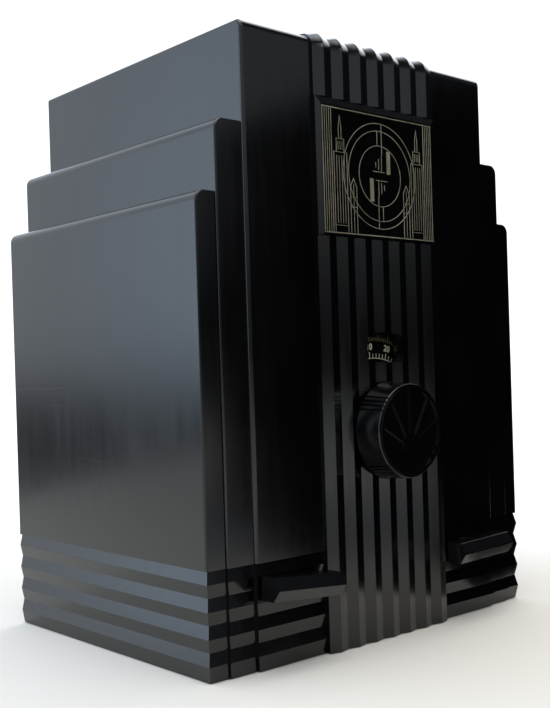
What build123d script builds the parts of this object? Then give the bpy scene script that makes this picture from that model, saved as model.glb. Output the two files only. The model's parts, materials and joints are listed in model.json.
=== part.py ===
from build123d import *
import os
from math import sin, cos, radians, sqrt, pi

# Table radio with a stepped, moulded cabinet.  Millimetres.
# +Z is up, the front faces -Y, the origin is the centre of the footprint on the shelf.

# ---------------------------------------------------------------- driving dimensions
HEIGHT = 298.5            # top of the fluted column
WIDTH = 226.2             # over the lower tier and the base bands
DEPTH = 190.5             # knob face to cabinet back
BACK = DEPTH / 2          # rear rim of the cabinet
KNOB_REACH = 19.0         # knob face ahead of the tower face
FACE = -DEPTH / 2 + KNOB_REACH      # plane of the tower's front face
UNDER = 0.4               # underside of the cabinet, the clear height given by the foot pads
PAD_SEAT = 1.0            # depth of the pad recesses in the floor
WALL = 4.0

BAND_OUT = 1.3            # depth of the grooves between the base bands
W1, H1, F1 = 86.9, 294.9, 0.0        # tower: half width, height, step back
W2, H2, F2 = 102.2, 248.5, 1.5       # middle tier
W3, H3, F3 = WIDTH / 2, 215.9, 2.65   # lower tier
BAND_TOP, BAND_PITCH, BANDS = 49.35, 11.95, 4

COL_HALF = 43.6           # fluted column
FLUTES = 7
COL_VALLEY, COL_CREST = 1.25, 2.9    # ahead of the tower face
COL_BEND = 9.0            # crest radius where the column turns over the top

PLATE_Z0, PLATE_Z1 = 199.6, 266.2    # ornamental plate
KNOB_Z, KNOB_R, KNOB_R_FRONT = 104.3, 24.6, 23.1
KNOB_BACK, KNOB_FACE = FACE - 4.0, -DEPTH / 2 + 1.0
SHAFT_R, RUN = 3.175, 0.05           # quarter inch shafts and their running clearance
DISC_R, DISC_Y = 49.5, FACE + 5.7
DIAL_REST, DIAL_SPAN = 12.4, 180.0   # reading at rest, travel in degrees for 0 to 100

CTRL_X, CTRL_Z = 65.3, 37.1          # side controls
LEVER_HALF, LEVER_H = 21.0, 10.8
LEVER_TILT_L, LEVER_TILT_R = -4.7, 1.6   # seen from the front, counter-clockwise positive

CH_X, CH_Y0, CH_Y1, CH_TOP, CH_LOW, CH_T = 92.0, -62.0, 66.0, 54.0, 12.0, 1.0
SPK_Z, SPK_R = 226.0, 63.5

os.makedirs("parts", exist_ok=True)


def save(part, name):
    part.label = name
    export_step(part, "parts/" + name + ".step")


def y_plane(y):
    # sketches on this plane use x to the right and z up, seen from the front; extruding goes towards the front
    return Plane(origin=(0, y, 0), x_dir=(1, 0, 0), z_dir=(0, -1, 0))


# ---------------------------------------------------------------- cabinet
def tower_block(w, h, step, r_front, r_side):
    # the tower turns over at the top of its front; its side rims are only eased
    y0 = FACE + step
    with BuildPart() as blk:
        with Locations((0, (y0 + BACK) / 2, (BAND_TOP + h) / 2)):
            Box(2 * w, BACK - y0, h - BAND_TOP)
        fillet(blk.edges().filter_by(Axis.X).group_by(Axis.Z)[-1].sort_by(Axis.Y)[0], r_front)
        rims = []
        for side in (blk.faces().sort_by(Axis.X)[0], blk.faces().sort_by(Axis.X)[-1]):
            rims += [e for e in side.edges() if e.center().Z > BAND_TOP + 0.5 and e.center().Y < BACK - 0.5]
        fillet(rims, r_side)
    return blk.part


def tier_block(w, h, step, r_top, r_edge):
    y0 = FACE + step
    with BuildPart() as blk:
        with Locations((0, (y0 + BACK) / 2, (BAND_TOP + h) / 2)):
            Box(2 * w, BACK - y0, h - BAND_TOP)
        sides = blk.edges().filter_by(Axis.Y).group_by(Axis.Z)[-1]
        fillet(sides, r_top)
        front = blk.faces().sort_by(Axis.Y)[0]
        rim = [e for e in front.edges() if e.center().Z > BAND_TOP + 0.5]
        fillet(rim, r_edge)
    return blk.part


def band_points():
    # height and reach of the base bands, from the underside up
    pts = [(UNDER, 0.0)]
    for i in reversed(range(BANDS)):
        pts.append((BAND_TOP - BAND_PITCH * (i + 0.5), BAND_OUT))
        z = BAND_TOP - BAND_PITCH * i
        pts.append((z, 0.0))
    return pts


def band_block(w, step):
    y0 = FACE + step
    pts = band_points()
    with BuildPart() as blk:
        with BuildSketch(Plane.YZ) as s1:
            with BuildLine():
                Polyline([(BACK, UNDER)] + [(y0 - a, z) for z, a in pts] + [(BACK, BAND_TOP)], close=True)
            make_face()
            crest = [v for v in s1.vertices() if v.Y > UNDER + 1 and v.X < y0 - 0.5 * BAND_OUT]
            fillet(crest, 0.5)
        extrude(amount=w + 2 * BAND_OUT, both=True)
        with BuildSketch(Plane(origin=(0, 0, 0), x_dir=(1, 0, 0), z_dir=(0, -1, 0))) as s2:
            with BuildLine():
                Polyline([(w + a, z) for z, a in pts] + [(-w - a, z) for z, a in reversed(pts)], close=True)
            make_face()
            crest = [v for v in s2.vertices() if abs(v.X) > w + 0.5 * BAND_OUT]
            fillet(crest, 0.5)
        extrude(amount=2 * DEPTH, both=True, mode=Mode.INTERSECT)
    return blk.part


col_pitch = 2 * COL_HALF / FLUTES
y_val, y_cre = FACE - COL_VALLEY, FACE - COL_CREST
val_bend = COL_BEND - (COL_CREST - COL_VALLEY)
z_val = HEIGHT - (COL_CREST - COL_VALLEY)
with BuildPart() as column:
    with BuildLine(Plane.YZ) as col_path:
        l1 = Line((y_val, UNDER), (y_val, z_val - val_bend))
        l2 = TangentArc((y_val, z_val - val_bend), (y_val + val_bend, z_val), tangent=(0, 1))
        l3 = Line((y_val + val_bend, z_val), (BACK, z_val))
    with BuildSketch(Plane.XY.offset(UNDER)) as col_sec:
        with BuildLine():
            zig = []
            for i in range(FLUTES):
                x = -COL_HALF + col_pitch * i
                zig += [(x, y_val), (x + col_pitch / 2, y_cre)]
            zig.append((COL_HALF, y_val))
            Polyline(zig + [(COL_HALF, y_val + 3.4), (-COL_HALF, y_val + 3.4)], close=True)
        make_face()
        tips = [v for v in col_sec.vertices() if v.Y < y_cre + 0.1]
        fillet(tips, 0.45)
    sweep(path=col_path.wires()[0])

with BuildPart() as cabinet:
    add(tower_block(W1, H1, F1, 4.0, 1.8))
    add(tier_block(W2, H2, F2, 5.0, 0.9))
    add(tier_block(W3, H3, F3, 5.0, 0.9))
    for w, f in ((W1, F1), (W2, F2), (W3, F3)):
        add(band_block(w - BAND_OUT, f + BAND_OUT))
    # hollow, open at the rear
    for w, h, f in ((W1, H1, F1), (W2, H2, F2), (W3, H3, F3)):
        with Locations((0, (FACE + f + WALL + BACK + 5) / 2, (UNDER + WALL + h - WALL) / 2)):
            Box(2 * (w - WALL), BACK + 5 - FACE - f - WALL, h - 2 * WALL - UNDER, mode=Mode.SUBTRACT)
    add(column.part)
    # seat for the plate, with the flute ends chamfered
    with BuildSketch(Plane.YZ):
        with BuildLine():
            Polyline((FACE, PLATE_Z0), (FACE - 2.4, PLATE_Z0), (FACE - 6, PLATE_Z0 - 3.6), (FACE - 6, PLATE_Z1),
                     (FACE, PLATE_Z1), close=True)
        make_face()
    extrude(amount=COL_HALF + 1, both=True, mode=Mode.SUBTRACT)
    # dial window, arched at the top
    with BuildSketch(y_plane(FACE - 6)) as win:
        with BuildLine():
            Polyline((-13.0, 151.0), (-13.0, 138.4), (13.0, 138.4), (13.0, 151.0))
            ThreePointArc((13.0, 151.0), (0, 153.4), (-13.0, 151.0))
        make_face()
        fillet(win.vertices(), 1.0)
    extrude(amount=-14, mode=Mode.SUBTRACT)
    # shaft holes
    with BuildSketch(y_plane(FACE - 6)):
        with Locations((0, KNOB_Z), (-CTRL_X, CTRL_Z), (CTRL_X, CTRL_Z)):
            Circle(5.0)
    extrude(amount=-14, mode=Mode.SUBTRACT)
    # holes for the plate's studs
    with BuildSketch(y_plane(FACE - 2)):
        with Locations((-34, PLATE_Z0 + 8), (34, PLATE_Z0 + 8), (-34, PLATE_Z1 - 8), (34, PLATE_Z1 - 8)):
            Circle(1.6)
    extrude(amount=-10, mode=Mode.SUBTRACT)
    # rear screw bosses for the back cover
    for sx in (-1, 1):
        with Locations((sx * 78.7, 84.0, 286.9), (sx * 104.3, 84.0, 8.8)):
            Box(10.0, 14.0, 9.0)
        with Locations((sx * 79.2, 68.4, 226.0)):
            Box(9.2, 5.2, 90.0)
    with BuildSketch(y_plane(92.0)):
        for sx in (-1, 1):
            with Locations((sx * 77.6, 286.2), (sx * 102.3, 10.1)):
                Circle(1.35)
    extrude(amount=12.0, mode=Mode.SUBTRACT)
    with BuildSketch(y_plane(72.0)):
        for sx in (-1, 1):
            with Locations((sx * 78.6, 190.0), (sx * 78.6, 262.0)):
                Circle(1.35)
    extrude(amount=5.5, mode=Mode.SUBTRACT)
    # chassis bolt holes through the floor, recessed below
    for sx in (-1, 1):
        for cy in (-44.0, 48.0):
            with Locations((sx * 84.0, cy, UNDER + WALL / 2)):
                Cylinder(2.3, WALL + 2, mode=Mode.SUBTRACT)
            with Locations((sx * 84.0, cy, UNDER + 1.1)):
                Cylinder(5.0, 2.2, mode=Mode.SUBTRACT)
    # seats for the foot pads
    with BuildSketch(Plane.XY.offset(UNDER)):
        with Locations((0, 10.0)):
            with GridLocations(190, 136, 2, 2):
                Circle(8.1)
    extrude(amount=PAD_SEAT, mode=Mode.SUBTRACT)
save(cabinet.part, "cabinet")

# ---------------------------------------------------------------- foot pads
with BuildPart() as foot_pads:
    with BuildSketch(Plane.XY):
        with Locations((0, 10.0)):
            with GridLocations(190, 136, 2, 2):
                Circle(8.0)
    extrude(amount=UNDER + PAD_SEAT)
save(foot_pads.part, "foot_pads")

# ---------------------------------------------------------------- ornamental plate
plate_face = FACE - 2.6
with BuildPart() as plate:
    with BuildSketch(y_plane(FACE - 0.05)):
        with Locations((0, (PLATE_Z0 + PLATE_Z1) / 2)):
            Rectangle(2 * COL_HALF, PLATE_Z1 - PLATE_Z0 - 0.2)
    extrude(amount=1.95)
    with BuildSketch(y_plane(FACE - 2.0)):
        with Locations((0, (PLATE_Z0 + PLATE_Z1) / 2)):
            Rectangle(2 * COL_HALF, PLATE_Z1 - PLATE_Z0 - 0.2)
    with BuildSketch(y_plane(plate_face)):
        with Locations((0, (PLATE_Z0 + 0.7 + PLATE_Z1 - 3.5) / 2)):
            Rectangle(2 * COL_HALF - 6.6, PLATE_Z1 - PLATE_Z0 - 4.2)
    loft()
    with BuildSketch(y_plane(FACE + WALL + 4)):
        with Locations((-34, PLATE_Z0 + 8), (34, PLATE_Z0 + 8), (-34, PLATE_Z1 - 8), (34, PLATE_Z1 - 8)):
            Circle(1.5)
    extrude(amount=WALL + 5)
save(plate.part, "ornamental_plate")

with BuildPart() as plate_nuts:
    with BuildSketch(y_plane(FACE + WALL + 1.2)):
        with Locations((-34, PLATE_Z0 + 8), (34, PLATE_Z0 + 8), (-34, PLATE_Z1 - 8), (34, PLATE_Z1 - 8)):
            RegularPolygon(4.2, 6)
            Circle(1.55, mode=Mode.SUBTRACT)
    extrude(amount=1.2)
save(plate_nuts.part, "plate_nuts")

# ---------------------------------------------------------------- back cover
BC_Y = 91.0
with BuildPart() as back_cover:
    with BuildSketch(y_plane(BC_Y + 2.5)) as bc:
        g = 0.5
        x1, x2, x3 = W1 - WALL - g, W2 - WALL - g, W3 - WALL - g
        z1, z2, z3, zb = H1 - WALL - g, H2 - WALL - g, H3 - WALL - g, UNDER + WALL + g
        with BuildLine():
            Polyline((-x3, zb), (x3, zb), (x3, z3), (x2, z3), (x2, z2), (x1, z2), (x1, z1),
                     (-x1, z1), (-x1, z2), (-x2, z2), (-x2, z3), (-x3, z3), close=True)
        make_face()
        # slots over the loudspeaker
        for k in range(-4, 5):
            dz = 10.5 * k
            half = sqrt(max(48.0 ** 2 - dz ** 2, 1.0))
            with Locations((0, SPK_Z + dz)):
                SlotOverall(2 * half, 4.6, mode=Mode.SUBTRACT)
        # ventilation slots over the chassis
        with Locations((0, 112.0)):
            with GridLocations(16.0, 44.0, 11, 2):
                SlotOverall(30.0, 5.0, rotation=90, mode=Mode.SUBTRACT)
        with Locations((-70.0, 26.0)):
            Circle(6.0, mode=Mode.SUBTRACT)
        for sx in (-1, 1):
            with Locations((sx * 77.6, 286.2), (sx * 102.3, 10.1)):
                Circle(1.7, mode=Mode.SUBTRACT)
    extrude(amount=2.5)
save(back_cover.part, "back_cover")


def round_screw(x, y, z, head_r, head_t, shank_r, shank_l):
    # cheese-head screw whose head rests on the plane y and whose shank runs to -Y
    with BuildPart() as scr:
        with BuildSketch(y_plane(y)):
            with Locations((x, z)):
                Circle(shank_r)
        extrude(amount=shank_l)
        with BuildSketch(y_plane(y + head_t)):
            with Locations((x, z)):
                Circle(head_r)
        extrude(amount=head_t)
        fillet(scr.edges().group_by(Axis.Y)[-1], 0.35 * head_t)
        with Locations((x, y + head_t, z)):
            Box(2.2 * head_r, 0.9 * head_t, 0.8, mode=Mode.SUBTRACT)
    return scr.part


with BuildPart() as back_screws:
    for sx in (-1, 1):
        add(round_screw(sx * 77.6, BC_Y + 2.5, 286.2, 3.2, 1.6, 1.3, 11.0))
        add(round_screw(sx * 102.3, BC_Y + 2.5, 10.1, 3.2, 1.6, 1.3, 11.0))
save(back_screws.part, "back_screws")

with BuildPart() as cord_grommet:
    with BuildSketch(y_plane(BC_Y + 4.1)):
        with Locations((-70.0, 26.0)):
            Circle(8.5)
    extrude(amount=1.5)
    with BuildSketch(y_plane(BC_Y - 0.1)):
        with Locations((-70.0, 26.0)):
            Circle(8.5)
    extrude(amount=1.5)
    with BuildSketch(y_plane(BC_Y + 3.0)):
        with Locations((-70.0, 26.0)):
            Circle(5.9)
    extrude(amount=3.5)
    with BuildSketch(y_plane(BC_Y + 5.0)):
        with Locations((-70.0, 26.0)):
            Circle(3.6)
    extrude(amount=8.0, mode=Mode.SUBTRACT)
save(cord_grommet.part, "cord_grommet")

# ---------------------------------------------------------------- chassis
TUBES = {  # name: x, y, glass radius, glass height above the base, top cap
    "converter_tube": (-52.0, 41.0, 19.0, 66.0, True),
    "if_tube": (0.0, 42.0, 19.0, 66.0, True),
    "detector_tube": (50.0, 43.0, 19.0, 66.0, True),
    "output_tube": (72.0, 2.0, 19.5, 74.0, False),
    "rectifier_tube": (67.0, -40.0, 19.5, 70.0, False),
}
with BuildPart() as chassis:
    with Locations((0, (CH_Y0 + CH_Y1) / 2, (CH_LOW + CH_TOP) / 2)):
        Box(2 * CH_X, CH_Y1 - CH_Y0, CH_TOP - CH_LOW)
    fillet(chassis.edges().filter_by(Axis.Y).group_by(Axis.Z)[-1], 2.0)
    with Locations((0, (CH_Y0 + CH_Y1) / 2, (CH_LOW + CH_TOP) / 2)):
        Box(2 * CH_X - 2 * CH_T, CH_Y1 - CH_Y0 - 2 * CH_T, CH_TOP - CH_LOW - 2 * CH_T, mode=Mode.SUBTRACT)
    with Locations((0, (CH_Y0 + CH_Y1) / 2, CH_LOW)):
        Box(2 * CH_X - 28, CH_Y1 - CH_Y0 - 2 * CH_T, 4 * CH_T, mode=Mode.SUBTRACT)
    for x, y, r, h, cap in TUBES.values():
        with Locations((x, y, CH_TOP)):
            Cylinder(13.5, 6, mode=Mode.SUBTRACT)
    with BuildSketch(y_plane(CH_Y0 - 1)):
        with Locations((-CTRL_X, CTRL_Z), (CTRL_X, CTRL_Z)):
            Circle(4.85)
    extrude(amount=-4, mode=Mode.SUBTRACT)
    for sx in (-1, 1):
        for cy in (-44.0, 48.0):
            with Locations((sx * 84.0, cy, CH_LOW)):
                Cylinder(2.3, 6, mode=Mode.SUBTRACT)
        for cy in (-57.0, 3.0):
            with Locations((sx * 14.0, cy, CH_TOP)):
                Cylinder(1.7, 6, mode=Mode.SUBTRACT)
save(chassis.part, "chassis")

with BuildPart() as chassis_spacers:
    with BuildSketch(Plane.XY.offset(UNDER + WALL)):
        for sx in (-1, 1):
            with Locations((sx * 84.0, -44.0), (sx * 84.0, 48.0)):
                Circle(6.5)
                Circle(2.3, mode=Mode.SUBTRACT)
    extrude(amount=CH_LOW - UNDER - WALL)
save(chassis_spacers.part, "chassis_spacers")

with BuildPart() as chassis_bolts:
    with BuildSketch(Plane.XY.offset(UNDER + 0.4)):
        for sx in (-1, 1):
            with Locations((sx * 84.0, -44.0), (sx * 84.0, 48.0)):
                RegularPolygon(4.4, 6)
    extrude(amount=1.8)
    with BuildSketch(Plane.XY.offset(UNDER + 2.2)):
        for sx in (-1, 1):
            with Locations((sx * 84.0, -44.0), (sx * 84.0, 48.0)):
                Circle(2.0)
    extrude(amount=16.0)
save(chassis_bolts.part, "chassis_bolts")

with BuildPart() as chassis_nuts:
    with BuildSketch(Plane.XY.offset(CH_LOW + CH_T)):
        for sx in (-1, 1):
            with Locations((sx * 84.0, -44.0), (sx * 84.0, 48.0)):
                RegularPolygon(4.4, 6)
                Circle(2.05, mode=Mode.SUBTRACT)
    extrude(amount=3.2)
save(chassis_nuts.part, "chassis_nuts")

# ---------------------------------------------------------------- tubes
PIN_RING, PIN_R = 9.5, 1.15
SOCK_T = 3.0
with BuildPart() as tube_sockets:
    for x, y, r, h, cap in TUBES.values():
        with BuildSketch(Plane.XY.offset(CH_TOP)):
            with Locations((x, y)):
                Circle(17.0)
                with PolarLocations(PIN_RING, 6):
                    Circle(PIN_R + 0.1, mode=Mode.SUBTRACT)
        extrude(amount=SOCK_T)
save(tube_sockets.part, "tube_sockets")

BASE_Z = CH_TOP + SOCK_T
BASE_H = 27.0


def tube_base(x, y):
    with BuildPart() as b:
        with BuildSketch(Plane.XY.offset(BASE_Z)):
            with Locations((x, y)):
                Circle(16.5)
        extrude(amount=3.0)
        with BuildSketch(Plane.XY.offset(BASE_Z + 3.0)):
            with Locations((x, y)):
                Circle(16.5)
                Circle(15.3, mode=Mode.SUBTRACT)
        extrude(amount=BASE_H - 3.0)
        with BuildSketch(Plane.XY.offset(BASE_Z - 12.0)):
            with Locations((x, y)):
                with PolarLocations(PIN_RING, 6):
                    Circle(PIN_R)
        extrude(amount=12.0)
    return b.part


def tube_glass(x, y, r, h):
    # shouldered bulb: neck, belly, waist and dome
    zb = BASE_Z + BASE_H
    with BuildPart() as gl:
        with BuildSketch(Plane(origin=(x, y, 0), x_dir=(1, 0, 0), z_dir=(0, -1, 0))):
            with BuildLine():
                a = Polyline((0, zb - 8.0), (15.0, zb - 8.0), (15.0, zb + 2.0))
                b = Spline((15.0, zb + 2.0), (r, zb + 0.36 * h), (r * 0.72, zb + 0.66 * h), (r * 0.66, zb + 0.84 * h),
                           tangents=[(0.4, 1), (0, 1)])
                c = Spline(b @ 1, (0, zb + h), tangents=[(0, 1), (-1, 0)])
                Line(c @ 1, (0, zb - 8.0))
            make_face()
        revolve(axis=Axis((x, y, 0), (0, 0, 1)))
        with BuildSketch(Plane(origin=(x, y, 0), x_dir=(1, 0, 0), z_dir=(0, -1, 0))):
            with BuildLine():
                t = 1.0
                a = Polyline((0, zb - 8.0 + t), (15.0 - t, zb - 8.0 + t), (15.0 - t, zb + 2.0))
                b = Spline((15.0 - t, zb + 2.0), (r - t, zb + 0.36 * h), (r * 0.72 - t, zb + 0.66 * h),
                           (r * 0.66 - t, zb + 0.84 * h), tangents=[(0.4, 1), (0, 1)])
                c = Spline(b @ 1, (0, zb + h - t), tangents=[(0, 1), (-1, 0)])
                Line(c @ 1, (0, zb - 8.0 + t))
            make_face()
        revolve(axis=Axis((x, y, 0), (0, 0, 1)), mode=Mode.SUBTRACT)
    return gl.part


for name, (x, y, r, h, cap) in TUBES.items():
    save(tube_base(x, y), name + "_base")
    save(tube_glass(x, y, r, h), name + "_glass")

with BuildPart() as tube_electrodes:
    for x, y, r, h, cap in TUBES.values():
        zb = BASE_Z + BASE_H
        with BuildSketch(Plane.XY.offset(zb + 6.0)):
            with Locations((x, y)):
                Ellipse(9.0, 5.5)
                Ellipse(8.4, 4.9, mode=Mode.SUBTRACT)
        extrude(amount=0.5 * h)
        with BuildSketch(Plane.XY.offset(zb + 4.8)):
            with Locations((x, y)):
                Circle(10.0)
        extrude(amount=1.2)
        with BuildSketch(Plane.XY.offset(zb - 6.9)):
            with Locations((x, y)):
                Ellipse(7.0, 2.5)
        extrude(amount=11.7)
        with BuildSketch(Plane.XY.offset(zb + 6.0 + 0.5 * h)):
            with Locations((x, y)):
                Circle(9.6)
        extrude(amount=1.0)
save(tube_electrodes.part, "tube_electrodes")

with BuildPart() as grid_caps:
    for x, y, r, h, cap in TUBES.values():
        if cap:
            with BuildSketch(Plane.XY.offset(BASE_Z + BASE_H + h + 0.05)):
                with Locations((x, y)):
                    Circle(4.6)
            extrude(amount=7.0)
    fillet(grid_caps.edges().group_by(Axis.Z)[-1], 1.2)
save(grid_caps.part, "grid_caps")

with BuildPart() as tube_shields:
    for nm in ("converter_tube", "if_tube"):
        x, y, r, h, cap = TUBES[nm]
        with BuildSketch(Plane.XY.offset(CH_TOP + 0.05)):
            with Locations((x, y)):
                Circle(22.0)
                Circle(21.3, mode=Mode.SUBTRACT)
        extrude(amount=62.0)
save(tube_shields.part, "tube_shields")

# ---------------------------------------------------------------- coil cans, smoothing parts
def deep_can(x, y, r, h):
    with BuildPart() as can:
        with Locations((x, y, CH_TOP + h / 2)):
            Cylinder(r, h)
        fillet(can.edges().group_by(Axis.Z)[-1], 2.5)
        with Locations((x, y, CH_TOP + (h - 0.8) / 2)):
            Cylinder(r - 0.8, h - 0.8, mode=Mode.SUBTRACT)
    return can.part


def coil_former(x, y):
    with BuildPart() as co:
        with Locations((x, y, CH_TOP + 25.0)):
            Cylinder(6.0, 50.0)
            Cylinder(5.0, 50.0, mode=Mode.SUBTRACT)
        with Locations((x, y, CH_TOP + 16.0), (x, y, CH_TOP + 36.0)):
            Cylinder(10.0, 6.0)
        with Locations((x, y, CH_TOP + 25.0)):
            Cylinder(5.0, 52.0, mode=Mode.SUBTRACT)
    return co.part


with BuildPart() as coil_cans:
    add(deep_can(-44.0, -38.0, 15.5, 58.0))
    add(deep_can(-76.0, -38.0, 15.5, 58.0))
save(coil_cans.part, "coil_cans")
with BuildPart() as coils:
    add(coil_former(-44.0, -38.0))
    add(coil_former(-76.0, -38.0))
save(coils.part, "coils")

with BuildPart() as smoothing_capacitor:
    with Locations((-78.0, 4.0, CH_TOP + 34.0)):
        Cylinder(15.0, 68.0)
    fillet(smoothing_capacitor.edges().group_by(Axis.Z)[-1], 2.0)
    with Locations((-78.0, 4.0, CH_TOP + 3.0)):
        Cylinder(17.0, 6.0)
save(smoothing_capacitor.part, "smoothing_capacitor")

with BuildPart() as choke_core:
    with Locations((-42.0, 0.0, CH_TOP + 17.0)):
        Box(14.0, 28.0, 34.0)
    with Locations((-42.0, 0.0, CH_TOP + 17.0)):
        Box(16.0, 18.0, 20.0, mode=Mode.SUBTRACT)
    with Locations((-42.0, 0.0, CH_TOP + 17.0)):
        Box(14.0, 8.0, 22.0)
save(choke_core.part, "choke_core")
with BuildPart() as choke_coil:
    with Locations((-42.0, 0.0, CH_TOP + 17.0)):
        Box(24.0, 17.4, 19.4)
        Box(26.0, 8.4, 21.0, mode=Mode.SUBTRACT)
    fillet(choke_coil.edges().filter_by(Axis.Z), 1.0)
save(choke_coil.part, "choke_coil")

# ---------------------------------------------------------------- parts under the chassis
with BuildPart() as bypass_capacitors:
    for px, py in ((-30.0, -20.0), (-30.0, 4.0), (30.0, -8.0)):
        with BuildSketch(Plane(origin=(px - 20, py, 32.0), z_dir=(1, 0, 0))):
            Circle(6.5)
        extrude(amount=40.0)
        with BuildSketch(Plane(origin=(px - 26, py, 32.0), z_dir=(1, 0, 0))):
            Circle(0.5)
        extrude(amount=52.0)
save(bypass_capacitors.part, "bypass_capacitors")
with BuildPart() as resistors:
    for px, py in ((-46.0, 26.0), (-46.0, -38.0), (46.0, 24.0), (46.0, -30.0), (0.0, 52.0)):
        with BuildSketch(Plane(origin=(px - 11, py, 26.0), z_dir=(1, 0, 0))):
            Circle(3.2)
        extrude(amount=22.0)
        with BuildSketch(Plane(origin=(px - 17, py, 26.0), z_dir=(1, 0, 0))):
            Circle(0.45)
        extrude(amount=34.0)
save(resistors.part, "resistors")

# ---------------------------------------------------------------- tuning capacitor
TC_Y0, TC_Y1, TC_W, TC_T = -52.0, -3.0, 24.0, 1.5
PL_T, PL_STEP = 0.5, 2.4
GANGS = (-47.6, -24.4)
with BuildPart() as tuning_frame:
    for ya in (TC_Y0, TC_Y1 - TC_T):
        with Locations((0, ya + TC_T / 2, (CH_TOP + 129.0) / 2)):
            Box(2 * TC_W, TC_T, 129.0 - CH_TOP)
    with Locations((0, (TC_Y0 + TC_Y1) / 2, 79.0)):
        Box(2 * TC_W, TC_Y1 - TC_Y0, TC_T)
    with Locations((0, -56.0, CH_TOP + TC_T / 2)):
        Box(2 * TC_W, 9.0, TC_T)
    with Locations((0, 1.0, CH_TOP + TC_T / 2)):
        Box(2 * TC_W, 10.0, TC_T)
    with BuildSketch(y_plane(TC_Y0 - 1)):
        with Locations((0, KNOB_Z)):
            Circle(SHAFT_R + RUN)
    extrude(amount=-60, mode=Mode.SUBTRACT)
    for sx in (-1, 1):
        for cy in (-57.0, 3.0):
            with Locations((sx * 14.0, cy, CH_TOP)):
                Cylinder(1.7, 8, mode=Mode.SUBTRACT)
save(tuning_frame.part, "tuning_frame")

with BuildPart() as tuning_stator:
    for g0 in GANGS:
        for k in range(8):
            with BuildSketch(y_plane(g0 + PL_STEP * k + PL_T)):
                with Locations((0, KNOB_Z)):
                    Circle(22.8)
                    Circle(5.0, mode=Mode.SUBTRACT)
                    with Locations((0, -12.0)):
                        Rectangle(60, 26, mode=Mode.SUBTRACT)
            extrude(amount=PL_T)
    for sx in (-1, 1):
        with BuildSketch(y_plane(TC_Y1 - TC_T)):
            with Locations((sx * 15.0, KNOB_Z + 15.0)):
                Circle(1.2)
        extrude(amount=TC_Y1 - TC_Y0 - 2 * TC_T)
save(tuning_stator.part, "tuning_stator")

# the vanes swing out as the reading falls; at full reading they lie wholly inside the stator
vane_mid = 90.0 - (100.0 - DIAL_REST) / 100.0 * DIAL_SPAN
with BuildPart() as tuning_rotor:
    with BuildSketch(y_plane(-1.0)):
        with Locations((0, KNOB_Z)):
            Circle(SHAFT_R)
    extrude(amount=-1.0 - (KNOB_BACK - 11.0))
    for g0 in GANGS:
        for k in range(7):
            yk = g0 + PL_STEP * (k + 0.5) + PL_T
            with BuildSketch(Plane(origin=(0, yk, KNOB_Z), x_dir=(cos(radians(vane_mid)), 0, sin(radians(vane_mid))), z_dir=(0, -1, 0))):
                Circle(18.5)
                with Locations((-20.0, 0)):
                    Rectangle(40, 60, mode=Mode.SUBTRACT)
                Circle(4.4)
            extrude(amount=PL_T)
save(tuning_rotor.part, "tuning_rotor")

with BuildPart() as tuning_screws:
    for sx in (-1, 1):
        for cy in (-57.0, 3.0):
            with Locations((sx * 14.0, cy, CH_TOP + TC_T + 1.0)):
                Cylinder(3.0, 2.0)
            with Locations((sx * 14.0, cy, CH_TOP - 1.5)):
                Cylinder(1.5, 2 * (TC_T + 1.5))
save(tuning_screws.part, "tuning_screws")

# ---------------------------------------------------------------- dial
with BuildPart() as dial_disc:
    with BuildSketch(y_plane(DISC_Y + 1.0)):
        with Locations((0, KNOB_Z)):
            Circle(DISC_R)
            Circle(SHAFT_R + 0.03, mode=Mode.SUBTRACT)
    extrude(amount=1.0)
save(dial_disc.part, "dial_disc")

with BuildPart() as dial_hub:
    with BuildSketch(y_plane(DISC_Y + 2.2)):
        with Locations((0, KNOB_Z)):
            Circle(14.0)
            Circle(SHAFT_R + 0.03, mode=Mode.SUBTRACT)
    extrude(amount=1.2)
    with BuildSketch(y_plane(DISC_Y + 9.0)):
        with Locations((0, KNOB_Z)):
            Circle(7.0)
            Circle(SHAFT_R + 0.03, mode=Mode.SUBTRACT)
    extrude(amount=6.8)
    with BuildSketch(Plane.XY.offset(KNOB_Z + SHAFT_R + 0.4)):
        with Locations((0, DISC_Y + 5.6)):
            Circle(1.5)
    extrude(amount=6, mode=Mode.SUBTRACT)
save(dial_hub.part, "dial_hub")

with BuildPart() as lamp_bracket:
    with Locations((0, TC_Y0 - 0.5, 146.0)):
        Box(12.0, 1.0, 56.0)
    with Locations((0, -59.0, 173.5)):
        Box(12.0, 14.0, 1.0)
    fillet(lamp_bracket.edges().filter_by(Axis.Z).group_by(Axis.Y)[0], 3.0)
save(lamp_bracket.part, "lamp_bracket")
with BuildPart() as lamp_socket:
    with Locations((0, -60.0, 166.0)):
        Cylinder(5.6, 14.0)
        Cylinder(4.6, 14.0, mode=Mode.SUBTRACT)
    with Locations((0, -60.0, 172.5)):
        Cylinder(5.6, 1.0)
save(lamp_socket.part, "lamp_socket")
with BuildPart() as dial_lamp:
    with BuildSketch(Plane(origin=(0, -60.0, 0), x_dir=(1, 0, 0), z_dir=(0, -1, 0))):
        with BuildLine():
            b = Spline((0, 141.5), (5.0, 148.0), (3.8, 156.0), tangents=[(1, 0), (-0.2, 1)])
            Polyline(b @ 1, (4.5, 157.0), (4.5, 171.0), (0, 171.0), (0, 141.5))
        make_face()
    revolve(axis=Axis((0, -60.0, 0), (0, 0, 1)))
save(dial_lamp.part, "dial_lamp")

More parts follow.
